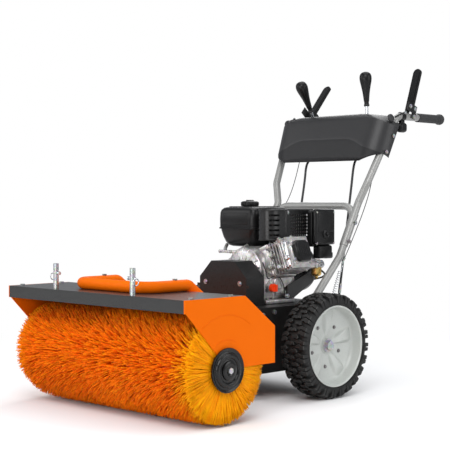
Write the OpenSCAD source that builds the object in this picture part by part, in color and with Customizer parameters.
// Walk-behind power brush sweeper: a swivelling brush head, a chassis with engine and drive wheels,
// and a tubular handle with a control console.
// Lengths are millimetres. Modules count Y back from the deck's front lip; +X is the operator's left.

/* [Deck] */
// Width over the side plates
deck_w = 800; // [700:5:900]
// Height of the deck top above the floor
deck_top = 358; // [350:1:390]
// Depth of the flat deck top
deck_len = 232; // [215:1:250]
// Height of the front lip
lip_h = 36; // [20:1:38]
// Depth of the side plates
hood_len = 354; // [335:1:360]
// Height where the sloping back turns upright
hood_back = 266; // [235:1:290]
// Height of the lower edge of the side plates
hood_low = 160; // [150:1:175]
// Thickness of the pressed sheet of the head
sheet = 3; // [2:0.5:5]

/* [Brush] */
// Outer radius of the brush, which touches the floor
brush_r = 157.5; // [145:0.5:160]
// Distance of the brush axis behind the lip
brush_y = 158; // [158:1:170]
// Radius of the brush core
core_r = 52; // [48:1:60]
// Radius of the brush shaft
shaft_r = 12.5; // [10:0.5:15]
// Half of the gap between the two half brushes
brush_gap = 34; // [31:1:45]
// Gap between the brush and the side plate
brush_end_gap = 10; // [6:1:16]
// Radius of the dished end discs
disc_r = 61; // [45:1:75]
// Tufts along one half brush
tuft_rows = 10; // [8:2:12]
// Tufts round the core
tuft_ring = 17; // [15:1:19]

/* [Brush drive] */
// Pitch radius of the bevel gear on the brush shaft
gear_r = 36; // [33:0.5:38]
// Pitch radius of the bevel pinion
pinion_r = 12; // [10:0.5:13]
// Radius of the drive shafts to the brush
drive_r = 9; // [7:0.5:10]
// Outer radius of the torque tube
torque_r = 25; // [20:0.5:27]
// Distance of the swivel axis behind the side plates
swivel_gap = 101; // [92:1:115]
// Radius of the swivel pin
pin_r = 12; // [9:0.5:14]
// Radius of the round ends of the swivel lugs
lug_r = 28; // [24:1:32]

/* [Yoke and posts] */
// Outer radius of the yoke tube on the deck
yoke_r = 17; // [13:0.5:20]
// Half of the distance between the yoke's arms
yoke_x = 160; // [140:1:180]
// Distance of the yoke's cross part behind the lip
yoke_y = 78; // [60:1:90]
// Bend radius of the yoke
yoke_bend = 48; // [40:1:55]
// Radius of the accessory posts
post_r = 8; // [6:0.5:10]
// Height of the accessory posts above the deck
post_h = 77; // [60:1:95]
// Half of the distance between the accessory posts
post_x = 175; // [150:1:220]
// Distance of the accessory posts behind the lip
post_y = 13; // [12:1:20]
// Height of the cross pin above the deck
post_pin_h = 48; // [40:1:52]

/* [Wheels] */
// Outer radius of the tyres
wheel_r = 165.4; // [155:0.1:175]
// Distance of the axle behind the front of the chassis box
axle_back = 201; // [190:1:215]
// Half of the distance over the outer faces of the tyres
wheel_x = 314; // [300:1:330]
// Width of a tyre
tyre_w = 95; // [80:1:110]
// Depth of the wheel disc behind the rim's outer edge
wheel_dish = 48; // [40:1:54]
// Radius of the rim flange
rim_r = 127; // [115:1:132]
// Radius of the axle
axle_r = 12.5; // [10:0.5:15]
// Height of the tread lugs
lug_h = 9; // [5:0.5:12]
// Tread lugs round a tyre
lug_count = 24; // [18:2:30]

/* [Chassis] */
// Half width of the chassis box
chassis_x = 169; // [160:1:180]
// Distance of the chassis box behind the swivel axis
chassis_gap = 81; // [78:1:95]
// Length of the chassis box
chassis_len = 364; // [350:1:380]
// Underside of the chassis box
chassis_low = 86; // [75:1:92]
// Top of the chassis box, where the engine stands
chassis_top = 288; // [286:1:310]
// Thickness of the chassis plates
plate = 4; // [3:0.5:6]

/* [Belt drive] */
// Height of the crankshaft above the chassis top
crank_h = 106; // [100:1:115]
// Outer radius of the engine pulley
engine_pulley_r = 27; // [24:0.5:30]
// Outer radius of the brush pulley
brush_pulley_r = 60; // [50:0.5:64]
// Outer radius of the drive pulley
drive_pulley_r = 45; // [38:0.5:48]
// Thickness of a belt
belt_t = 7; // [5:0.5:9]
// Width of a belt
belt_w = 12; // [9:0.5:14]
// Half width of the belt cover
cover_x = 105; // [98:1:120]
// Half width of the top of the belt cover
cover_top_x = 52; // [45:1:60]
// Height of the belt cover above the chassis top
cover_h = 141; // [139:1:150]
// Distance of the belt cover behind the front of the chassis box
cover_set = 7; // [5:1:10]

/* [Engine] */
// Distance of the crankcase behind the front of the chassis box
engine_set = 96; // [92:1:104]
// Length of the crankcase
case_len = 158; // [150:1:165]
// Tilt of the cylinder above level
cyl_tilt = 21; // [15:1:25]
// Distance of the cylinder foot from the crankshaft
cyl_foot = 92; // [88:1:98]
// Length of the finned cylinder and head
cyl_len = 86; // [80:1:95]
// Depth of the valve cover
valve_d = 22; // [16:1:28]
// Radius of the blower housing
blower_r = 106; // [100:1:108]
// Depth of the blower housing
blower_d = 88; // [80:1:92]
// Radius of the crankshaft
crank_r = 12.5; // [10:0.5:14]
// Top of the engine block above the chassis top
block_h = 186; // [184:1:190]
// Height of the fuel tank
tank_h = 125; // [110:1:135]
// Width of the fuel tank
tank_w = 150; // [130:1:155]
// Length of the fuel tank
tank_len = 188; // [170:1:190]

/* [Handle] */
// Outer radius of the handle tubes
tube_r = 12.5; // [11:0.5:14]
// Half of the distance between the lower legs
leg_x = 182; // [181.5:0.5:190]
// Height of the cross tube of the lower loop
cross_z = 604; // [590:1:615]
// Half of the distance between the grips
grip_x = 228; // [222:1:240]
// Height of the grips
grip_z = 912; // [905:1:920]
// Outer radius of the grips
grip_r = 15.5; // [14.5:0.25:17]
// Length of a grip
grip_len = 147; // [120:1:155]
// Distance of the grip ends behind the axle
handle_reach = 686; // [670:1:710]
// Lean of the left paddle behind upright
paddle_left_lean = 20; // [15:1:25]
// Lean of the right paddle behind upright
paddle_right_lean = 41; // [37:1:45]
// Length of a paddle above its pivot
paddle_len = 176; // [160:1:190]

/* [Console] */
// Half width of the console at its lower edge
console_x0 = 240; // [238:1:248]
// Half width of the console at its upper edge
console_x1 = 248; // [246:1:256]
// Height of the console's lower edge
console_z0 = 758; // [750:1:765]
// Height of the console's upper edge
console_z1 = 920; // [916:1:926]
// Distance of the console's lower front edge before the grip ends
console_low_set = 401; // [395:1:409]
// Distance of the console's upper front edge before the grip ends
console_high_set = 345; // [339:1:353]
// Depth of the console's sides at the lower edge
console_d = 69; // [64:1:76]
// Thickness of the console sheet
console_t = 2.5; // [2:0.25:4]
// Distance of the left shift lever from the middle
speed_x = 118; // [105:1:125]
// Distance of the right shift lever from the middle
angle_x = 112; // [100:1:125]
// Forward lean of the left shift lever
speed_lean = 4; // [0:1:8]
// Forward lean of the right shift lever
angle_lean = 31; // [27:1:33]

/* [Hidden] */
$fn = 48;
EPS = 0.5;
// Running clearance between a shaft and its bore, and between neighbours that only lie close
fit = 0.05;
gap = 0.3;
// Ring left by the bending clamp on a bent bar
clamp_ring = 0.12;
clamp_w = 3;

brush_z = brush_r;
axle_z = wheel_r;
// Places counted back from the lip, each from the one before it
pivot_y = hood_len + swivel_gap;
chassis_front = pivot_y + chassis_gap;
chassis_back = chassis_front + chassis_len;
cover_front = chassis_front + cover_set;
engine_front = chassis_front + engine_set;
axle_y = chassis_front + axle_back;
reach = axle_y + handle_reach;
console_y0 = reach - console_low_set;
console_y1 = reach - console_high_set;
lever_y = reach - 285;
paddle_y = reach - 186;
crank_z = chassis_top + crank_h;
deck_in = deck_w / 2 - sheet;
brush_end = deck_in - brush_end_gap;
case_half = 27;
belt_cover_back = engine_front - 7;
brush_belt_y = cover_front + 29;
drive_belt_y = brush_belt_y + 25;
drive_in_z = chassis_top - plate - drive_pulley_r - 9;
engine_back = engine_front + case_len;
tank_z = chassis_top + block_h + 1;
grip_start = reach - grip_len;
lever_z = console_z1 - 34;
shelf_z = console_z1 - console_t;

// Shapes that repeat

module from_lip() {
    translate([0, -reach / 2, 0]) children();
}

module both_sides() {
    children();
    mirror([1, 0, 0]) children();
}

module box(x, y, z) {
    translate([x[0], y[0], z[0]]) cube([x[1] - x[0], y[1] - y[0], z[1] - z[0]]);
}

module x_rod(r, x, y, z) {
    translate([x[0], y, z]) rotate([0, 90, 0]) cylinder(r = r, h = x[1] - x[0]);
}

module y_rod(r, x, y, z) {
    translate([x, y[0], z]) rotate([-90, 0, 0]) cylinder(r = r, h = y[1] - y[0]);
}

module z_rod(r, x, y, z) {
    translate([x, y, z[0]]) cylinder(r = r, h = z[1] - z[0]);
}

// A plate outlined in the Y-Z plane, between two X values
module side_sheet(x, outline) {
    translate([x[0], 0, 0]) rotate([90, 0, 90]) linear_extrude(x[1] - x[0]) polygon(outline);
}

// A plate outlined in the X-Z plane, between two Y values
module front_sheet(y, outline) {
    translate([0, y[1], 0]) rotate([90, 0, 0]) linear_extrude(y[1] - y[0]) polygon(outline);
}

function unit(v) = v / norm(v);

// Bend radius at a corner, from one radius for all or a list
function bend_at(bend, i) = is_list(bend) ? bend[i] : bend;

// Length of straight bar that a bend takes up on each side of its corner
function setback(p, i, bend) =
    (i == 0 || i == len(p) - 1) ? 0
    : bend_at(bend, i) * tan(acos(unit(p[i] - p[i - 1]) * unit(p[i + 1] - p[i])) / 2);

// Axes u, v, w and origin o as a placement
module on_axes(u, v, w, o) {
    multmatrix([[u[0], v[0], w[0], o[0]], [u[1], v[1], w[1], o[1]], [u[2], v[2], w[2], o[2]], [0, 0, 0, 1]])
        children();
}

// A child drawn along +Z is laid from a towards b
module along(a, b) {
    w = unit(b - a);
    u = unit(cross(abs(w[2]) > 0.9 ? [1, 0, 0] : [0, 0, 1], w));
    on_axes(u, cross(w, u), w, a) children();
}

// A round bar through corner points, with round bends
module bent_bar(p, r, bend) {
    last = len(p) - 1;
    for (i = [0:last - 1]) {
        d = unit(p[i + 1] - p[i]);
        a = p[i] + setback(p, i, bend) * d;
        b = p[i + 1] - setback(p, i + 1, bend) * d;
        along(a, b) cylinder(r = r, h = norm(b - a));
    }
    for (i = [1:1:last - 1]) {
        a = unit(p[i] - p[i - 1]);
        b = unit(p[i + 1] - p[i]);
        n = unit(b - (a * b) * a);
        turn_r = bend_at(bend, i);
        centre = p[i] - setback(p, i, bend) * a + turn_r * n;
        on_axes(-n, a, cross(-n, a), centre)
            rotate_extrude(angle = acos(a * b)) translate([turn_r, 0]) circle(r);
        // The slight ring that the bending clamp leaves at each end of a bend
        for (end = [[-setback(p, i, bend) * a, a], [setback(p, i, bend) * b, b]]) {
            e = p[i] + end[0];
            along(e - clamp_w / 2 * end[1], e) cylinder(r = r + clamp_ring, h = clamp_w);
        }
    }
}

// A hexagon-headed bolt along +Z with its head's underside at 0 and its shank below
module bolt(r, shank) {
    head_h = r * 1.3;
    cylinder(r = r * 1.8, h = head_h, $fn = 6);
    translate([0, 0, -shank]) cylinder(r = r, h = shank + EPS);
}

// Grooved pulley round Z, centred on its groove
module pulley(r, bore, w) {
    rim = (w - belt_w) / 2 - gap;
    rotate_extrude() polygon([[bore, -w / 2], [r, -w / 2], [r, -w / 2 + rim], [r - belt_t, -belt_w / 2 - gap],
        [r - belt_t, belt_w / 2 + gap], [r, w / 2 - rim], [r, w / 2], [bore, w / 2]]);
}

// Brush head

module deck_plate() {
    color("dimgray") from_lip() difference() {
        union() {
            box([-deck_in, deck_in], [0, deck_len], [deck_top - sheet, deck_top]);
            box([-deck_in, deck_in], [0, sheet], [deck_top - lip_h, deck_top]);
        }
        both_sides() z_rod(post_foot_r, post_x, post_y, [deck_top - sheet - EPS, deck_top + EPS]);
    }
}

post_foot_r = post_r * 0.6;
yoke_slope = atan2(deck_top - hood_back, hood_len - deck_len);

module side_plate(x) {
    difference() {
        side_sheet(x, [[0, deck_top], [deck_len, deck_top], [hood_len, hood_back], [hood_len, hood_low],
            [brush_y + 6, hood_low], [sheet * 2, deck_top - lip_h], [0, deck_top - lip_h]]);
        x_rod(shaft_r * 2.4, [x[0] - EPS, x[1] + EPS], brush_y, brush_z);
    }
}

module side_plate_left() {
    color("darkorange") from_lip() side_plate([deck_in, deck_w / 2]);
}

module side_plate_right() {
    color("darkorange") from_lip() side_plate([-deck_w / 2, -deck_in]);
}

module rear_apron() {
    drop = sheet / cos(yoke_slope);
    notch = torque_r + 10;
    color("orangered") from_lip() difference() {
        side_sheet([-deck_in, deck_in], [[deck_len, deck_top], [hood_len, hood_back], [hood_len, hood_low],
            [hood_len - sheet, hood_low], [hood_len - sheet, hood_back - drop + sheet * tan(yoke_slope)],
            [deck_len, deck_top - drop]]);
        box([-notch, notch], [hood_len - sheet - EPS, hood_len + EPS], [0, brush_z + notch]);
    }
}

yoke_back = hood_len - 20;
yoke_z = deck_top + yoke_r + clamp_ring;
// The tight knee follows the deck's back edge, and the slope past it keeps clear of the apron
yoke_knee_bend = yoke_r + 1;
yoke_knee = deck_len + (yoke_r + clamp_ring + gap) * tan(yoke_slope / 2) + gap;
yoke_bends = [0, yoke_knee_bend, yoke_bend, yoke_bend, yoke_knee_bend, 0];
yoke_path = [[-yoke_x, yoke_back, yoke_z - (yoke_back - yoke_knee) * tan(yoke_slope)],
    [-yoke_x, yoke_knee, yoke_z], [-yoke_x, yoke_y, yoke_z], [yoke_x, yoke_y, yoke_z],
    [yoke_x, yoke_knee, yoke_z], [yoke_x, yoke_back, yoke_z - (yoke_back - yoke_knee) * tan(yoke_slope)]];
yoke_bolt_r = 4;
yoke_bolt_y = deck_len - 45;

module yoke_tube() {
    color("darkorange") from_lip() bent_bar(yoke_path, yoke_r, yoke_bends);
}

module head_bolts() {
    side_bolt_r = 4;
    color("silver") from_lip() both_sides() {
        translate([yoke_x, yoke_bolt_y, yoke_z + yoke_r])
            cylinder(r = yoke_bolt_r * 1.8, h = yoke_bolt_r, $fn = 6);
        for (y = [40, deck_len - 40])
            translate([deck_in - 14, y, deck_top]) cylinder(r = side_bolt_r * 1.8, h = side_bolt_r, $fn = 6);
    }
}

module accessory_posts() {
    color("lightgray") from_lip() both_sides() difference() {
        union() {
            translate([post_x, post_y, deck_top]) rotate_extrude() polygon([[0, 0], [post_r, 0],
                [post_r, post_seat - post_groove], [post_r - 1, post_seat - post_groove],
                [post_r - 1, post_seat],
                [post_r, post_seat], [post_r, post_h], [0, post_h]]);
            z_rod(post_foot_r - fit, post_x, post_y, [deck_top - sheet, deck_top + EPS]);
        }
        x_rod(post_pin_r + fit, [post_x - post_r - EPS, post_x + post_r + EPS], post_y, deck_top + post_pin_h);
    }
}

post_pin_r = 3;
// A groove above the cross pin marks off the free end that takes an accessory's sleeve
post_groove = 2;
post_seat = post_pin_h + post_pin_r + 5;

module post_pins() {
    clip_r = 10;
    wire_r = 1.5;
    out = post_x + post_r + 6;
    z = deck_top + post_pin_h;
    color("gainsboro") from_lip() both_sides() {
        x_rod(post_pin_r, [post_x - post_r - 8, out], post_y, z);
        x_rod(post_pin_r * 1.8, [post_x - post_r - 10, post_x - post_r - 7], post_y, z);
        translate([out, post_y, z - clip_r]) rotate([0, 90, 0]) rotate_extrude() translate([clip_r, 0])
            circle(wire_r);
    }
}

module gearbox_case() {
    r = gear_r + 10;
    web = 5;
    flange_t = 12;
    neck = brush_y + gear_r + 22;
    color("gray") from_lip() difference() {
        union() {
            x_rod(r, [-case_half, case_half], brush_y, brush_z);
            y_rod(torque_r, 0, [brush_y, neck], brush_z);
            box([-web, web], [brush_y - 25, brush_y + 45], [brush_z, deck_top - sheet]);
            box([-55, 55], [brush_y - 30, brush_y + 50], [deck_top - sheet - flange_t, deck_top - sheet]);
        }
        x_rod(r - 5, [-case_half + 5, case_half - 5], brush_y, brush_z);
        x_rod(shaft_r + fit, [-case_half - EPS, case_half + EPS], brush_y, brush_z);
        y_rod(drive_r + fit, 0, [brush_y, neck + EPS], brush_z);
        y_rod(pinion_r + 1, 0, [brush_y, brush_y + gear_r + 1], brush_z);
    }
}

torque_front = brush_y + gear_r + 22;
torque_back = pivot_y - 45;

module torque_tube() {
    color("dimgray") from_lip() difference() {
        y_rod(torque_r, 0, [torque_front, torque_back], brush_z);
        y_rod(drive_r + fit, 0, [torque_front - EPS, torque_back + EPS], brush_z);
    }
}

// The swivel stands above the shaft: two chassis lugs with the clevis boss between them
lug_t = 9;
lug_low = brush_z + torque_r + 6;
boss_h = 54;
lug_high = lug_low + lug_t + boss_h + 2 * gap;

module swivel_clevis() {
    z = [lug_low + lug_t + gap, lug_high - gap];
    collar = torque_r + 9;
    arm_x = lug_r * 0.8;
    color("dimgray") from_lip() difference() {
        union() {
            z_rod(lug_r - 2, 0, pivot_y, z);
            box([-arm_x, arm_x], [torque_back - 34, pivot_y], z);
            box([-arm_x, arm_x], [torque_back - 34, torque_back], [brush_z, z[1]]);
            y_rod(collar, 0, [torque_back - 34, torque_back], brush_z);
        }
        z_rod(pin_r + fit, 0, pivot_y, [z[0] - EPS, z[1] + EPS]);
        y_rod(torque_r + fit, 0, [torque_back - 35, torque_back + EPS], brush_z);
    }
}

// Brush

module brush_shaft() {
    color("silver") from_lip() difference() {
        x_rod(shaft_r, [-deck_w / 2 - 3, deck_w / 2 + 3], brush_y, brush_z);
        both_sides() x_rod(brush_bolt_r + fit, [deck_w / 2 - 20, deck_w / 2 + 3 + EPS], brush_y, brush_z);
    }
}

brush_bolt_r = 5;
backing_t = 3;

module brush_cores() {
    color("saddlebrown") from_lip() both_sides() difference() {
        x_rod(core_r, [brush_gap, brush_end], brush_y, brush_z);
        x_rod(shaft_r, [brush_gap - EPS, brush_end + EPS], brush_y, brush_z);
    }
}

// Tufts stand on a thin backing sleeve whose outer face is a slanting grid: one cell a tuft.
// Rings of four corners climb each tuft from its cell to a narrow neck and on to its tip.
tuft_neck = 14;
tuft_half = 3.2;
tuft_splay = 9;
slant = 0.5;
tuft_step = 360 / tuft_ring;

function polar(r, a, x) = [x, brush_y + r * cos(a), brush_z + r * sin(a)];
function row_x(i) = brush_gap + 2 + (brush_end - brush_gap - 4) * i / tuft_rows;
function cell(i, j, r) = polar(r, tuft_step * (j + slant * i), row_x(i));
function tuft_mid(i) = (row_x(i) + row_x(i + 1)) / 2;
function tuft_lean(i) = tuft_splay * (2 * (i + 0.5) / tuft_rows - 1);
function tuft_corner(i, j, k, r, half, lean) =
    polar(r, tuft_step * (j + 0.5 + slant * (i + 0.5)) + (k == 1 || k == 2 ? 1 : -1) * half / r * 180 / PI,
        tuft_mid(i) + lean + (k < 2 ? -half : half));

module bristles() {
    rim = core_r + gap;
    top = rim + backing_t;
    n = tuft_ring;
    grid = [for (i = [0:tuft_rows], j = [0:n - 1]) cell(i, j, top)];
    inner = [for (i = [0, tuft_rows], j = [0:n - 1]) polar(rim / cos(180 / n), tuft_step * j, row_x(i))];
    necks = [for (i = [0:tuft_rows - 1], j = [0:n - 1], k = [0:3])
        tuft_corner(i, j, k, top + tuft_neck, tuft_half, 0)];
    tips = [for (i = [0:tuft_rows - 1], j = [0:n - 1], k = [0:3])
        tuft_corner(i, j, k, brush_r, tuft_half, tuft_lean(i))];
    g = len(grid);
    m = g + len(inner);
    t = m + len(necks);
    quads = concat(
        [for (i = [0:tuft_rows - 1], j = [0:n - 1], k = [0:3])
            let (root = [i * n + j, i * n + (j + 1) % n, (i + 1) * n + (j + 1) % n, (i + 1) * n + j],
                c = (i * n + j) * 4, l = (k + 1) % 4)
            [root[k], root[l], m + c + l, m + c + k]],
        [for (c = [0:4:len(necks) - 1], k = [0:3])
            let (l = (k + 1) % 4) [m + c + k, m + c + l, t + c + l, t + c + k]],
        [for (c = [0:4:len(tips) - 1]) [t + c, t + c + 1, t + c + 2, t + c + 3]],
        [for (j = [0:n - 1]) let (l = (j + 1) % n) [g + j, g + n + j, g + n + l, g + l]],
        [for (j = [0:n - 1]) let (l = (j + 1) % n) [g + j, g + l, l, j]],
        [for (j = [0:n - 1]) let (l = (j + 1) % n, e = tuft_rows * n, s = slant * tuft_rows)
            [e + j, e + l, g + n + (l + s) % n, g + n + (j + s) % n]]);
    polyhedron(concat(grid, inner, necks, tips),
        [for (q = quads, h = [0, 1]) h == 0 ? [q[0], q[2], q[1]] : [q[0], q[3], q[2]]]);
}

module bristles_left() {
    color("orangered") from_lip() bristles();
}

module bristles_right() {
    color("orangered") from_lip() mirror([1, 0, 0]) bristles();
}

module brush_discs() {
    dish = 9;
    x0 = deck_w / 2 + 3;
    color("black") from_lip() both_sides() translate([x0, brush_y, brush_z]) rotate([0, 90, 0])
        rotate_extrude() polygon([[brush_bolt_r + fit, 0], [disc_r, 0], [disc_r, 3], [disc_r - 8, 3],
            [disc_r - 14, dish], [brush_bolt_r + fit, dish]]);
}

module brush_bolts() {
    x0 = deck_w / 2 + 3 + 9;
    color("silver") from_lip() both_sides() translate([x0, brush_y, brush_z]) rotate([0, 90, 0])
        bolt(brush_bolt_r, 28);
}

// Bevel pair on the brush shaft and the input shaft, drawn as pitch cones
cone_share = 0.7;

module bevel_gear() {
    hub = 5;
    color("slategray") from_lip() translate([0, brush_y, brush_z]) rotate([0, 90, 0]) rotate_extrude()
        polygon([[shaft_r + fit, pinion_r * cone_share + gap],
            [gear_r * cone_share, pinion_r * cone_share + gap],
            [gear_r, pinion_r + gap], [gear_r, pinion_r + 3], [shaft_r + 6, pinion_r + 3],
            [shaft_r + 6, pinion_r + hub], [shaft_r + fit, pinion_r + hub]]);
}

module input_shaft() {
    flange_y = pivot_y - 24;
    color("silver") from_lip() translate([0, brush_y, brush_z]) rotate([-90, 0, 0]) rotate_extrude()
        polygon([[0, gear_r * cone_share + gap], [pinion_r * cone_share - gap, gear_r * cone_share + gap],
            [pinion_r - gap, gear_r], [drive_r, gear_r], [drive_r, flange_y - 7 - brush_y],
            [coupling_r, flange_y - 7 - brush_y], [coupling_r, flange_y - brush_y], [0, flange_y - brush_y]]);
}

coupling_r = 21;

module shaft_coupling() {
    waist = coupling_r - 4;
    half = 24;
    color("black") from_lip() translate([0, pivot_y, brush_z]) rotate([-90, 0, 0]) rotate_extrude()
        polygon([[0, -half], [coupling_r, -half], [coupling_r, -half + 8], [waist, 0], [coupling_r, half - 8],
            [coupling_r, half], [0, half]]);
}

module rear_shaft() {
    flange_y = pivot_y + 24;
    color("silver") from_lip() {
        y_rod(coupling_r, 0, [flange_y, flange_y + 7], brush_z);
        y_rod(drive_r, 0, [flange_y + 6, brush_belt_y + 10], brush_z);
    }
}

module brush_pulley() {
    color("slategray") from_lip() translate([0, brush_belt_y, brush_z]) rotate([-90, 0, 0])
        pulley(brush_pulley_r, drive_r, belt_w + 8);
}

// Chassis

shaft_boss_back = chassis_front + plate + 14;
bearing_r = axle_r + 8;
cover_in = 2.5;
cover_bolt_x = 77;

module chassis_frame() {
    lug_back = chassis_front + plate;
    color([0.12, 0.12, 0.13]) from_lip() difference() {
        union() {
            difference() {
                box([-chassis_x, chassis_x], [chassis_front, chassis_back], [chassis_low, chassis_top]);
                box([-chassis_x + plate, chassis_x - plate], [chassis_front + plate, chassis_back - plate],
                    [chassis_low - EPS, chassis_top - plate]);
            }
            for (z = [lug_low, lug_high]) {
                z_rod(lug_r, 0, pivot_y, [z, z + lug_t]);
                box([-lug_r, lug_r], [pivot_y, lug_back], [z, z + lug_t]);
            }
            box([-6, 6], [pivot_y + lug_r + 12, lug_back], [lug_low, lug_high + lug_t]);
            y_rod(drive_r + 12, 0, [chassis_front - 10, shaft_boss_back], brush_z);
            both_sides()
                box([chassis_x - plate, spring_x + 7], [spring_low[1] - 8, spring_low[1] + 8],
                    [chassis_top - plate, chassis_top]);
            for (x = [speed_x, -angle_x])
                box([x - 3, x + 3], [chassis_back - plate, cable_foot_y + 8],
                    [cable_foot_z - 26, cable_foot_z]);
        }
        for (z = [lug_low, lug_high]) z_rod(pin_r + fit, 0, pivot_y, [z - EPS, z + lug_t + EPS]);
        y_rod(drive_r + fit, 0, [chassis_front - 11, shaft_boss_back + EPS], brush_z);
        both_sides() x_rod(bearing_r + fit, [chassis_x - plate - EPS, chassis_x + EPS], axle_y, axle_z);
        box([-cover_x + 25, cover_x - 25], [cover_front + 12, drive_belt_y + 14],
            [chassis_top - plate - EPS, chassis_top + EPS]);
    }
}

module chassis_floor() {
    color([0.15, 0.15, 0.16]) from_lip()
        box([-chassis_x, chassis_x], [chassis_front, chassis_back], [chassis_low - 3, chassis_low]);
}

module swivel_pin() {
    color("silver") from_lip() {
        z_rod(pin_r, 0, pivot_y, [lug_low - 6, lug_high + lug_t + EPS]);
        z_rod(pin_r * 1.6, 0, pivot_y, [lug_high + lug_t, lug_high + lug_t + 8]);
    }
}

module belt_cover() {
    low = chassis_top;
    knee = cover_h - 52;
    inner = cover_in;
    color([0.09, 0.09, 0.1]) from_lip() difference() {
        union() {
            front_sheet([cover_front, belt_cover_back], [[-cover_x, low], [cover_x, low], [cover_x, low + knee],
                [cover_top_x, low + cover_h], [-cover_top_x, low + cover_h], [-cover_x, low + knee]]);
            box([-cover_x - 12, cover_x + 12], [cover_front, cover_front + inner], [low + 59, low + 67]);
        }
        front_sheet([cover_front + inner, belt_cover_back + EPS],
            [[-cover_x + inner, low - EPS], [cover_x - inner, low - EPS], [cover_x - inner, low + knee - 1],
            [cover_top_x - 1, low + cover_h - inner], [-cover_top_x + 1, low + cover_h - inner],
            [-cover_x + inner, low + knee - 1]]);
    }
}

module frame_bolts() {
    color("silver") from_lip() {
        both_sides() {
            for (p = [[chassis_front + 14, chassis_top - 22], [chassis_front + 66, chassis_top - 16],
                [chassis_back - 30, chassis_low + 30]])
                translate([chassis_x, p[0], p[1]]) rotate([0, 90, 0]) cylinder(r = 8, h = 5, $fn = 6);
            for (p = handle_bolts)
                translate([leg_x + sleeve_r, p[0], p[1]]) rotate([0, 90, 0]) cylinder(r = 7, h = 6, $fn = 6);
        }
        for (x = [-cover_bolt_x, cover_bolt_x])
            translate([x, cover_front, chassis_top + 72]) rotate([90, 0, 0]) {
                cylinder(r = 8, h = 2);
                translate([0, 0, 2]) cylinder(r = 5, h = 4, $fn = 6);
            }
    }
}

module belt(y, low, low_r) {
    inner = gap * 2;
    translate([0, y + belt_w / 2, 0]) rotate([90, 0, 0]) linear_extrude(belt_w) difference() {
        hull() {
            translate([0, crank_z]) circle(engine_pulley_r + inner);
            translate([0, low]) circle(low_r + inner);
        }
        hull() {
            translate([0, crank_z]) circle(engine_pulley_r - belt_t + inner);
            translate([0, low]) circle(low_r - belt_t + inner);
        }
    }
}

module belts() {
    color([0.05, 0.05, 0.05]) from_lip() {
        belt(brush_belt_y, brush_z, brush_pulley_r);
        belt(drive_belt_y, drive_in_z, drive_pulley_r);
    }
}

// Sealed drive unit with its input pulley

module transmission_case() {
    r = 62;
    color("gray") from_lip() difference() {
        union() {
            x_rod(r, [-58, 58], axle_y, axle_z);
            box([-40, 40], [axle_y - 46, axle_y + 46], [axle_z, chassis_top - plate]);
        }
        x_rod(axle_r + fit, [-60, 60], axle_y, axle_z);
        y_rod(8 + fit, 0, [axle_y - 47, axle_y - 10], drive_in_z);
    }
}

module drive_pulley() {
    color("slategray") from_lip() {
        translate([0, drive_belt_y, drive_in_z]) rotate([-90, 0, 0]) pulley(drive_pulley_r, 7, belt_w + 8);
        y_rod(8, 0, [drive_belt_y - 10, axle_y - 12], drive_in_z);
    }
}

// Wheels

module axle_bearings() {
    color("goldenrod") from_lip() both_sides() difference() {
        union() {
            x_rod(bearing_r, [chassis_x - plate - 6, chassis_x + 4], axle_y, axle_z);
            x_rod(bearing_r + 8, [chassis_x, chassis_x + 4], axle_y, axle_z);
        }
        x_rod(axle_r + fit, [chassis_x - plate - 7, chassis_x + 5], axle_y, axle_z);
    }
}

hub_out = 10;
hub_face = wheel_x - wheel_dish + hub_out;
axle_end = hub_face + 6;

module axle() {
    color("silver") from_lip() x_rod(axle_r, [-axle_end, axle_end], axle_y, axle_z);
}

module at_wheel() {
    translate([wheel_x, axle_y, axle_z]) rotate([0, 90, 0]) children();
}

module rims() {
    w = tyre_w;
    bead = rim_r - 14;
    hub_r = axle_r + 9;
    dish = wheel_dish;
    color("lightgray") from_lip() both_sides() at_wheel() rotate_extrude() polygon([
        [axle_r, hub_out - dish], [hub_r, hub_out - dish], [hub_r, hub_out - dish - 4], [hub_r + 30, -dish],
        [bead - 18, -dish], [bead - 8, -4],
        [rim_r, -2], [rim_r, -5], [bead, -8], [bead, -w + 8], [rim_r, -w + 5], [rim_r, -w + 2],
        [bead - 4, -w + 5], [bead - 4, -11], [bead - 14, -dish - 4], [hub_r + 30, -dish - 4],
        [hub_r, -dish - 4], [hub_r, -w - 16], [axle_r, -w - 16]]);
}

module tyres() {
    w = tyre_w;
    bead = rim_r - 14;
    base = wheel_r - lug_h;
    step = 360 / lug_count;
    color([0.07, 0.07, 0.07]) from_lip() both_sides() at_wheel() difference() {
        union() {
            translate([0, 0, -w]) rotate_extrude() polygon([[bead + gap, 9], [rim_r + 1, 9], [rim_r + 10, 0],
                [base - 14, 0], [base, 12], [base, w - 12], [base - 14, w], [rim_r + 10, w], [rim_r + 1, w - 9],
                [bead + gap, w - 9]]);
            for (i = [0:lug_count - 1], s = [0, 1])
                rotate([0, 0, step * (i + s / 2) - 90]) translate([base - 4, -11, s == 0 ? -w + 8 : -w / 2 - 4])
                    cube([lug_h + 8, 22, w / 2 - 4]);
        }
        translate([0, 0, -w - EPS]) difference() {
            cylinder(r = wheel_r + 20, h = w + 2 * EPS);
            translate([0, 0, -EPS]) cylinder(r = wheel_r, h = w + 4 * EPS);
        }
    }
}

module hub_nuts() {
    cap = 7;
    color("silver") from_lip() both_sides() difference() {
        union() {
            x_rod(axle_r + 9, [hub_face, hub_face + 3], axle_y, axle_z);
            translate([hub_face, axle_y, axle_z]) rotate([0, 90, 0])
                cylinder(r = axle_r + 4, h = axle_end - hub_face + cap, $fn = 6);
        }
        x_rod(axle_r + fit, [hub_face - EPS, axle_end], axle_y, axle_z);
    }
}

// Engine

// Origin on the crankshaft at the cylinder's middle, +X along the tilted cylinder
cyl_y = engine_front + case_len * 0.6;

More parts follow.
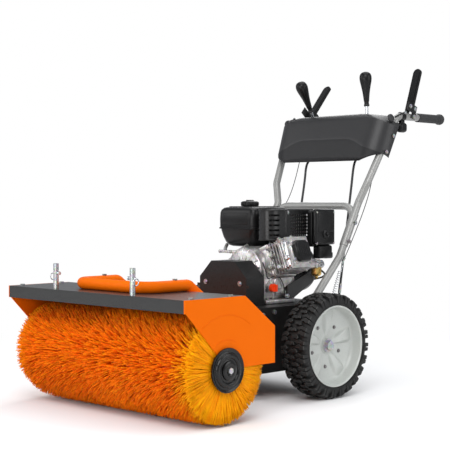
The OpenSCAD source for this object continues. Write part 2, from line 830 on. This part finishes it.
module at_cylinder() {
    translate([0, cyl_y, crank_z]) rotate([0, -cyl_tilt, 0]) children();
}

case_left = 88;
case_right = -78;
dip = [case_left, engine_front + 34, crank_z - 52];

module crankcase() {
    big = 300;
    foot = 14;
    color("lightgray") from_lip() difference() {
        union() {
            box([case_right, case_left], [engine_front, engine_back], [chassis_top + foot - EPS, tank_z]);
            box([case_right - 12, case_left + 12], [engine_front + 10, engine_back - 10],
                [chassis_top, chassis_top + foot]);
            y_rod(62, 0, [engine_front - 5, engine_front + EPS], crank_z);
            x_rod(15, [case_left - EPS, case_left + 12], dip[1], dip[2]);
        }
        at_cylinder() translate([cyl_foot, -big / 2, -60]) cube(big);
        y_rod(crank_r + fit, 0, [engine_front - 6, engine_back + EPS], crank_z);
        x_rod(6.5, [case_left - 40, case_left + 13], dip[1], dip[2]);
    }
}

fin_half = 52;

module cylinder_block() {
    fins = 8;
    fin_t = 4;
    pitch = (cyl_len - fin_t) / (fins - 1);
    color("whitesmoke") from_lip() at_cylinder() {
        translate([cyl_foot, 0, 0]) rotate([0, 90, 0]) cylinder(r = 40, h = cyl_len);
        for (i = [0:fins - 1])
            translate([cyl_foot + i * pitch, -fin_half, -fin_half]) cube([fin_t, 2 * fin_half, 2 * fin_half]);
    }
}

module valve_cover() {
    x0 = cyl_foot + cyl_len;
    half = 46;
    cut = 16;
    outline = [[-half, -half + cut], [-half + cut, -half], [half - cut, -half], [half, -half + cut],
        [half, half - cut], [half - cut, half], [-half + cut, half], [-half, half - cut]];
    color("dimgray") from_lip() at_cylinder() {
        translate([x0, 0, 0]) rotate([90, 0, 90]) linear_extrude(5) polygon(outline * 1.08);
        translate([x0 + 4, 0, 0]) rotate([90, 0, 90]) linear_extrude(valve_d - 4) polygon(outline * 0.9);
    }
}

tank_x = [-15 - tank_w, -15];
tank_y = [engine_front + 58, engine_front + 58 + tank_len];
cap_at = [-15 - tank_w * 0.45, engine_front + 58 + tank_len * 0.35];
neck_r = 17;

module fuel_tank() {
    cut = 26;
    x = tank_x;
    z = [tank_z, tank_z + tank_h];
    color([0.1, 0.1, 0.1]) from_lip() difference() {
        union() {
            front_sheet(tank_y, [[x[0] + cut, z[0]], [x[1] - 8, z[0]], [x[1], z[0] + 8], [x[1], z[1] - 10],
                [x[1] - 10, z[1]], [x[0] + 14, z[1]], [x[0], z[1] - 12], [x[0], z[0] + cut]]);
            box([x[0] - 6, x[1] + 4], [tank_y[0] - 6, tank_y[1] + 6], [z[0] + 50, z[0] + 54]);
            z_rod(neck_r, cap_at[0], cap_at[1], [z[1] - EPS, z[1] + 14]);
        }
        z_rod(neck_r - 4, cap_at[0], cap_at[1], [z[1] - 12, z[1] + 15]);
    }
}

module fuel_cap() {
    z = tank_z + tank_h;
    r = neck_r + 7;
    color([0.08, 0.08, 0.08]) from_lip() translate([cap_at[0], cap_at[1], 0]) difference() {
        union() {
            translate([0, 0, z + 4]) cylinder(r = r, h = 18);
            for (i = [0:7])
                rotate([0, 0, i * 45]) translate([r, 0, z + 4]) cylinder(r = 3, h = 18);
        }
        translate([0, 0, z + 3]) cylinder(r = neck_r + gap, h = 11 + gap);
    }
}

muffler_x = [4, 92];
muffler_y = [engine_front + 18, engine_front + 232];
muffler_z = [tank_z + 24, tank_z + 112];

module muffler() {
    pipe_y = cyl_y - 20;
    color("gainsboro") from_lip() {
        box(muffler_x, muffler_y, muffler_z);
        z_rod(16, 46, pipe_y, [tank_z, muffler_z[0] + EPS]);
        box([20, 62], [pipe_y - 26, pipe_y + 26], [tank_z, tank_z + 8]);
    }
}

guard_t = 2;

module muffler_guard() {
    x = [muffler_x[0] - 6, muffler_x[1] + 16];
    y = [muffler_y[0] - 14, muffler_y[0] + 92];
    z = [muffler_z[0] - 4, muffler_z[1] + 8];
    slots = 5;
    color("gainsboro") from_lip() {
        difference() {
            box(x, y, z);
            box([x[0] - EPS, x[1] - guard_t], [y[0] + guard_t, y[1] + EPS], [z[0] - EPS, z[1] - guard_t]);
            for (i = [0:slots - 1])
                box([x[1] - guard_t - EPS, x[1] + EPS], [y[0] + 16, y[1] - 14],
                    [z[0] + 14 + i * 16, z[0] + 20 + i * 16]);
        }
        for (s = [muffler_z[0] + 12, muffler_z[1] - 20])
            box([muffler_x[1], x[1] - guard_t + EPS], [y[1] - 10, y[1]], [s, s + 8]);
    }
}

cleaner_x = [108, 152];
cleaner_y = [engine_front + 194, engine_front + 289];
cleaner_z = [chassis_top + 142, chassis_top + 307];
carb_y = [cyl_y + fin_half + 1, engine_front + 236];

module carburettor() {
    bowl_r = 17;
    x = (cleaner_x[0] + cleaner_x[1]) / 2 + 4;
    y = (cleaner_y[0] + carb_y[1]) / 2;
    z = cleaner_z[0];
    color("goldenrod") from_lip() {
        y_rod(14, x, [carb_y[0] - 1, carb_y[1]], z - 18);
        box([x - 16, x + 16], [carb_y[0] - 1, carb_y[0] + 7], [z - 38, z - 1]);
        z_rod(11, x, y, [z - 20, z]);
        z_rod(bowl_r, x, y, [z - 58, z - 30]);
    }
}

module air_cleaner() {
    cut = 14;
    x = cleaner_x;
    y = cleaner_y;
    z = cleaner_z;
    color([0.1, 0.1, 0.1]) from_lip() {
        side_sheet([x[0], x[1]], [[y[0] + cut, z[0]], [y[1] - cut, z[0]], [y[1], z[0] + cut],
            [y[1], z[1] - cut],
            [y[1] - cut, z[1]], [y[0] + cut, z[1]], [y[0], z[1] - cut], [y[0], z[0] + cut]]);
        x_rod(16, [x[1] - EPS, x[1] + 6], (y[0] + y[1]) / 2, (z[0] + z[1]) / 2);
        x_rod(7, [x[1] - EPS, x[1] + 14], (y[0] + y[1]) / 2, (z[0] + z[1]) / 2);
    }
}

flywheel_r = 72;
recoil_r = 84;
recoil_d = 40;
blower_wall = 3;
rope_at = [-40, tank_z - 1];

module blower_housing() {
    back = engine_back + blower_d;
    color([0.22, 0.22, 0.23]) from_lip() difference() {
        union() {
            intersection() {
                y_rod(blower_r, 0, [engine_back, back], crank_z);
                box([-blower_r, blower_r], [engine_back, back], [chassis_top, tank_z]);
            }
            y_rod(recoil_r - 4, 0, [back - EPS, back + recoil_d], crank_z);
            box([rope_at[0] - 14, rope_at[0] + 14], [back - 20, back + recoil_d], [crank_z, rope_at[1]]);
        }
        y_rod(flywheel_r + 4, 0, [engine_back - EPS, back - blower_wall], crank_z);
        y_rod(crank_r + 2, 0, [back - blower_wall - EPS, back + 12], crank_z);
        z_rod(4, rope_at[0], back + recoil_d / 2, [rope_at[1] - 30, rope_at[1] + EPS]);
    }
}

module recoil_grip() {
    back = engine_back + blower_d;
    z = rope_at[1] + gap;
    color([0.06, 0.06, 0.06]) from_lip() {
        z_rod(2.5, rope_at[0], back + recoil_d / 2, [z - 26, z + EPS]);
        z_rod(7, rope_at[0], back + recoil_d / 2, [z, z + 10]);
        x_rod(8, [rope_at[0] - 24, rope_at[0] + 24], back + recoil_d / 2, z + 16);
    }
}

module crankshaft() {
    color("silver") from_lip() {
        y_rod(crank_r, 0, [brush_belt_y - 12, engine_back + blower_d - blower_wall - 2], crank_z);
        y_rod(flywheel_r, 0, [engine_back + 12, engine_back + blower_d - 24], crank_z);
    }
}

module engine_pulley() {
    color("slategray") from_lip() for (y = [brush_belt_y, drive_belt_y])
        translate([0, y, crank_z]) rotate([-90, 0, 0]) pulley(engine_pulley_r, crank_r, belt_w + 8);
}

module dipstick() {
    x = case_left + 12 + gap;
    color("orangered") from_lip() {
        x_rod(13, [x, x + 12], dip[1], dip[2]);
        x_rod(5, [case_left - 36, x + EPS], dip[1], dip[2]);
        box([x + 11, x + 24], [dip[1] - 3, dip[1] + 3], [dip[2] - 11, dip[2] + 11]);
    }
}

// Handle

leg_foot = [leg_x, axle_y + 4, chassis_top - 24];
leg_knee = [leg_x, leg_foot[1] + 168, leg_foot[2] + 172];
leg_top = [leg_x, leg_knee[1] + 92, cross_z];
leg_bend = 60;
leg_path = [leg_foot, leg_knee, leg_top, [-leg_x, leg_top[1], cross_z], [-leg_x, leg_knee[1], leg_knee[2]],
    [-leg_x, leg_foot[1], leg_foot[2]]];
sleeve_r = tube_r + 1.8;
sleeve_dir = unit(leg_top - leg_knee);
sleeve_low = leg_knee + 42 * sleeve_dir;
handle_bolts = [for (d = [58, 128]) [(leg_knee + d * sleeve_dir)[1], (leg_knee + d * sleeve_dir)[2]]];
grip_knee = [grip_x, reach - 263, grip_z];
// Shares of the way from the loop to the grip bend, along each axis, where the upper tubes bend
upper_shares = [[0.543, 0.157, 0.26], [0.826, 0.459, 0.562]];
upper_mids = [for (f = upper_shares) [for (i = [0:2]) leg_top[i] + f[i] * (grip_knee[i] - leg_top[i])]];
upper_bend = 42;
upper_in = 66;
upper_path = [leg_top - upper_in * sleeve_dir, leg_top + 12 * sleeve_dir, upper_mids[0], upper_mids[1], grip_knee,
    [grip_x, reach - 4 - gap, grip_z]];

module lower_handle() {
    color("silver") from_lip() bent_bar(leg_path, tube_r, leg_bend);
}

module upper_handles() {
    color("silver") from_lip() both_sides() difference() {
        union() {
            bent_bar(upper_path, tube_r, upper_bend);
            along(sleeve_low, leg_top) cylinder(r = sleeve_r, h = norm(leg_top - sleeve_low) - 30);
            x_rod(paddle_pin_r, [grip_x - paddle_half - 2, grip_x + paddle_half + 2], paddle_y, grip_z);
        }
        bent_bar(leg_path, tube_r + gap, leg_bend);
    }
}

module grips() {
    color([0.2, 0.2, 0.2]) from_lip() both_sides() difference() {
        union() {
            y_rod(grip_r, grip_x, [grip_start, reach], grip_z);
            y_rod(grip_r + 3.5, grip_x, [reach - 20, reach - 6], grip_z);
        }
        y_rod(tube_r + fit, grip_x, [grip_start - EPS, reach - 4], grip_z);
    }
}

// Console

console_round = 70;
console_deepen = 21;
console_bevel = 36;
bevel_in = 34;
bevel_back = 14;

// Outline of the console seen from above: round at the front corners, square at the back
function console_outline(hw, y, back, r) = concat(
    [[-hw, back]],
    [for (a = [180:9:270]) [-hw + r + r * cos(a), y + r + r * sin(a)]],
    [for (a = [270:9:360]) [hw - r + r * cos(a), y + r + r * sin(a)]],
    [[hw, back]]);

// Half width, front and back of the console at a share f of its height
function console_at(f) = [
    console_x0 + f * (console_x1 - console_x0),
    console_y0 + f * (console_y1 - console_y0),
    console_y0 + console_d + f * (console_y1 - console_y0 + console_deepen)];

module console_slab(c, z, inset, more) {
    translate([0, 0, z]) linear_extrude(1)
        polygon(console_outline(c[0] - inset, c[1] + inset, c[2] + more, console_round - inset));
}

// The front and sides lean back, and a bevel leads from a shoulder to the narrower top
module console_block(inset, low, high, more) {
    rise = console_z1 - console_z0;
    hull() {
        console_slab(console_at(0), console_z0 + low, inset, more);
        console_slab(console_at(1 - console_bevel / rise), console_z1 - console_bevel, inset, more);
        console_slab(console_at(1) + [-bevel_in, bevel_back, 0], console_z1 - 1 + high, inset, more);
    }
}

shelf_back = lever_y + 34;

module console() {
    slot = 8;
    color([0.2, 0.2, 0.21]) from_lip() difference() {
        union() {
            difference() {
                console_block(0, 0, 0, 0);
                console_block(console_t, -EPS, -console_t, EPS);
            }
            box([-205, 205], [console_y1 + 20, shelf_back], [shelf_z, console_z1]);
        }
        both_sides() bent_bar(upper_path, tube_r + gap, upper_bend);
        box([speed_x - slot, speed_x + slot], [lever_y - 32, lever_y + 18],
            [shelf_z - EPS, console_z1 + EPS]);
        box([-angle_x - slot, -angle_x + slot], [lever_y - 48, lever_y + 8],
            [shelf_z - EPS, console_z1 + EPS]);
    }
}

lever_pin_r = 4;
bracket_half = 15;
bracket_low = lever_z - 62;

module lever_bracket(x) {
    t = 3;
    y = [lever_y - 24, lever_y + 14];
    difference() {
        box([x - bracket_half - t, x + bracket_half + t], y, [bracket_low, shelf_z]);
        box([x - bracket_half, x + bracket_half], [y[0] - EPS, y[1] + EPS], [bracket_low + t, shelf_z + EPS]);
    }
    x_rod(lever_pin_r, [x - bracket_half - EPS, x + bracket_half + EPS], lever_y, lever_z);
}

module lever_brackets() {
    color("silver") from_lip() {
        lever_bracket(speed_x);
        lever_bracket(-angle_x);
    }
}

module shift_lever(x, lean) {
    rod_r = 5;
    hub_r = 9;
    neck = 68;
    tail = 36;
    translate([x, lever_y, lever_z]) rotate([lean, 0, 0]) {
        difference() {
            union() {
                x_rod(hub_r, [-bracket_half + gap, bracket_half - gap], 0, 0);
                z_rod(rod_r, 0, 0, [-tail, neck]);
            }
            x_rod(lever_pin_r + fit, [-bracket_half - 1, bracket_half + 1], 0, 0);
        }
        translate([0, 0, neck - 1]) rotate_extrude() polygon([[0, 0], [8, 0], [9, 4], [8, 14], [17.5, 82],
            [18.5, 96], [15.5, 108], [9, 115], [0, 117]]);
    }
}

module speed_lever() {
    color([0.1, 0.1, 0.1]) from_lip() shift_lever(speed_x, speed_lean);
}

module angle_lever() {
    color([0.1, 0.1, 0.1]) from_lip() shift_lever(-angle_x, angle_lean);
}

// A paddle is a forked channel pinned through the handle tube, with a flat round-ended blade above it.
// The pin is a stub on each side of the tube.
paddle_t = 2.5;
paddle_half = tube_r + 0.7 + paddle_t;
paddle_pin_r = 4;

module paddle(x, lean) {
    fork = 36;
    t = paddle_t;
    blade = 4;
    translate([x, paddle_y, grip_z]) rotate([-lean, 0, 0]) difference() {
        union() {
            for (s = [-1, 1])
                translate([s * (paddle_half - t / 2) - t / 2, -tube_r - 3, -9]) cube([t, 22, fork + 9]);
            translate([-paddle_half, -tube_r - 3, tube_r + 4])
                cube([2 * paddle_half, blade, paddle_len - tube_r - 19]);
            translate([0, -tube_r - 3, paddle_len - paddle_half]) rotate([-90, 0, 0])
                cylinder(r = paddle_half, h = blade);
        }
        x_rod(paddle_pin_r + fit, [-paddle_half - 1, paddle_half + 1], 0, 0);
    }
}

module paddle_left() {
    color([0.08, 0.08, 0.08]) from_lip() paddle(grip_x, paddle_left_lean);
}

module paddle_right() {
    color([0.08, 0.08, 0.08]) from_lip() paddle(-grip_x, paddle_right_lean);
}

// Cables

cable_foot_y = chassis_back + 85;
cable_foot_z = 300;
cable_r = 4;
wire_r = 2.5;
spring_x = 205;
spring_low = [spring_x, chassis_back - 62, chassis_top];
spring_high = [spring_x, chassis_back - 8, chassis_top + 124];

// Push-pull cables from the shift levers, and thin clutch cables behind the handle tubes
module thin_wire(p, r) {
    for (i = [0:len(p) - 2])
        along(p[i], p[i + 1]) cylinder(r = r, h = norm(p[i + 1] - p[i]));
    for (i = [1:len(p) - 2])
        translate(p[i]) sphere(r + clamp_ring);
}

module control_cables() {
    lift = 4;
    lead = 76;
    drop = 80;
    bend = 60;
    color([0.05, 0.05, 0.05]) from_lip() {
        for (x = [speed_x, -angle_x])
            bent_bar([[x, lever_y - 12, bracket_low - lift], [x, lever_y - lead, bracket_low - drop],
                [x, cable_foot_y, cable_foot_z + 1]], cable_r, bend);
        both_sides()
            thin_wire([[spring_x - 5, lever_y - 3, shelf_z - 30],
                [spring_x - 13, lever_y - 43, cross_z + 116],
                [spring_x + 9, chassis_back + 34, cross_z - 124], spring_high], wire_r);
    }
}

// A close helix from one end to the other, with a straight stretch of wire at each end
spring_curls = 12;
spring_wire = 1.2;
spring_coil = 5;
spring_end = 0.16;
curl_rings = 8;
wire_sides = 6;

spring_axis = unit(spring_high - spring_low);
spring_u = unit(cross(spring_axis, [1, 0, 0]));
spring_v = cross(spring_axis, spring_u);
spring_long = norm(spring_high - spring_low) - gap;

function coil_at(t) =
    let (a = 360 * spring_curls * t, along_t = spring_end + (1 - 2 * spring_end) * t)
    spring_low + along_t * spring_long * spring_axis + spring_coil * (cos(a) * spring_u + sin(a) * spring_v);
coil = [for (i = [0:spring_curls * curl_rings]) coil_at(i / (spring_curls * curl_rings))];
// The lower end stops short of the tab by what the tilt of the spring takes up
spring_drop = spring_coil / 2 + 2 * gap;
spring_line = concat([coil[0] - (spring_end * spring_long - spring_drop) * spring_axis,
    coil[0] - 2 * spring_wire * spring_axis], coil,
    [coil[len(coil) - 1] + 2 * spring_wire * spring_axis,
    coil[len(coil) - 1] + (spring_end * spring_long - gap) * spring_axis]);
coil_gap = min([for (i = [0:len(coil) - 1], j = [0:len(coil) - 1])
    if (j - i >= curl_rings / 2) norm(coil[i] - coil[j])]) - 2 * spring_wire;
echo("least gap between the spring's curls", coil_gap);

module wire(line, r) {
    n = wire_sides;
    last = len(line) - 1;
    points = [for (i = [0:last])
        let (d = unit(line[min(i + 1, last)] - line[max(i - 1, 0)]),
            u = unit(cross(d, [1, 0, 0.3])), v = cross(d, u))
        for (k = [0:n - 1]) line[i] + r * (cos(360 * k / n) * u + sin(360 * k / n) * v)];
    sides = [for (i = [0:last - 1], k = [0:n - 1], h = [0, 1])
        let (l = (k + 1) % n, a = i * n, b = a + n)
        h == 0 ? [a + k, a + l, b + l] : [a + k, b + l, b + k]];
    caps = [for (k = [1:n - 2], h = [0, 1])
        h == 0 ? [0, k + 1, k] : [last * n, last * n + k, last * n + k + 1]];
    polyhedron(points, [for (f = concat(sides, caps)) [f[0], f[2], f[1]]]);
}

module clutch_springs() {
    color("silver") from_lip() {
        wire(spring_line, spring_wire);
        mirror([1, 0, 0]) wire(spring_line, spring_wire);
    }
}

deck_plate();
side_plate_left();
side_plate_right();
rear_apron();
yoke_tube();
head_bolts();
accessory_posts();
post_pins();
gearbox_case();
torque_tube();
swivel_clevis();
brush_shaft();
brush_cores();
bristles_left();
bristles_right();
brush_discs();
brush_bolts();
bevel_gear();
input_shaft();
rear_shaft();
shaft_coupling();
brush_pulley();
chassis_frame();
chassis_floor();
swivel_pin();
frame_bolts();
belt_cover();
belts();
crankshaft();
engine_pulley();
drive_pulley();
transmission_case();
axle_bearings();
axle();
rims();
tyres();
hub_nuts();
crankcase();
cylinder_block();
valve_cover();
fuel_tank();
fuel_cap();
muffler();
muffler_guard();
carburettor();
air_cleaner();
blower_housing();
recoil_grip();
dipstick();
lower_handle();
upper_handles();
grips();
console();
lever_brackets();
speed_lever();
angle_lever();
paddle_left();
paddle_right();
control_cables();
clutch_springs();
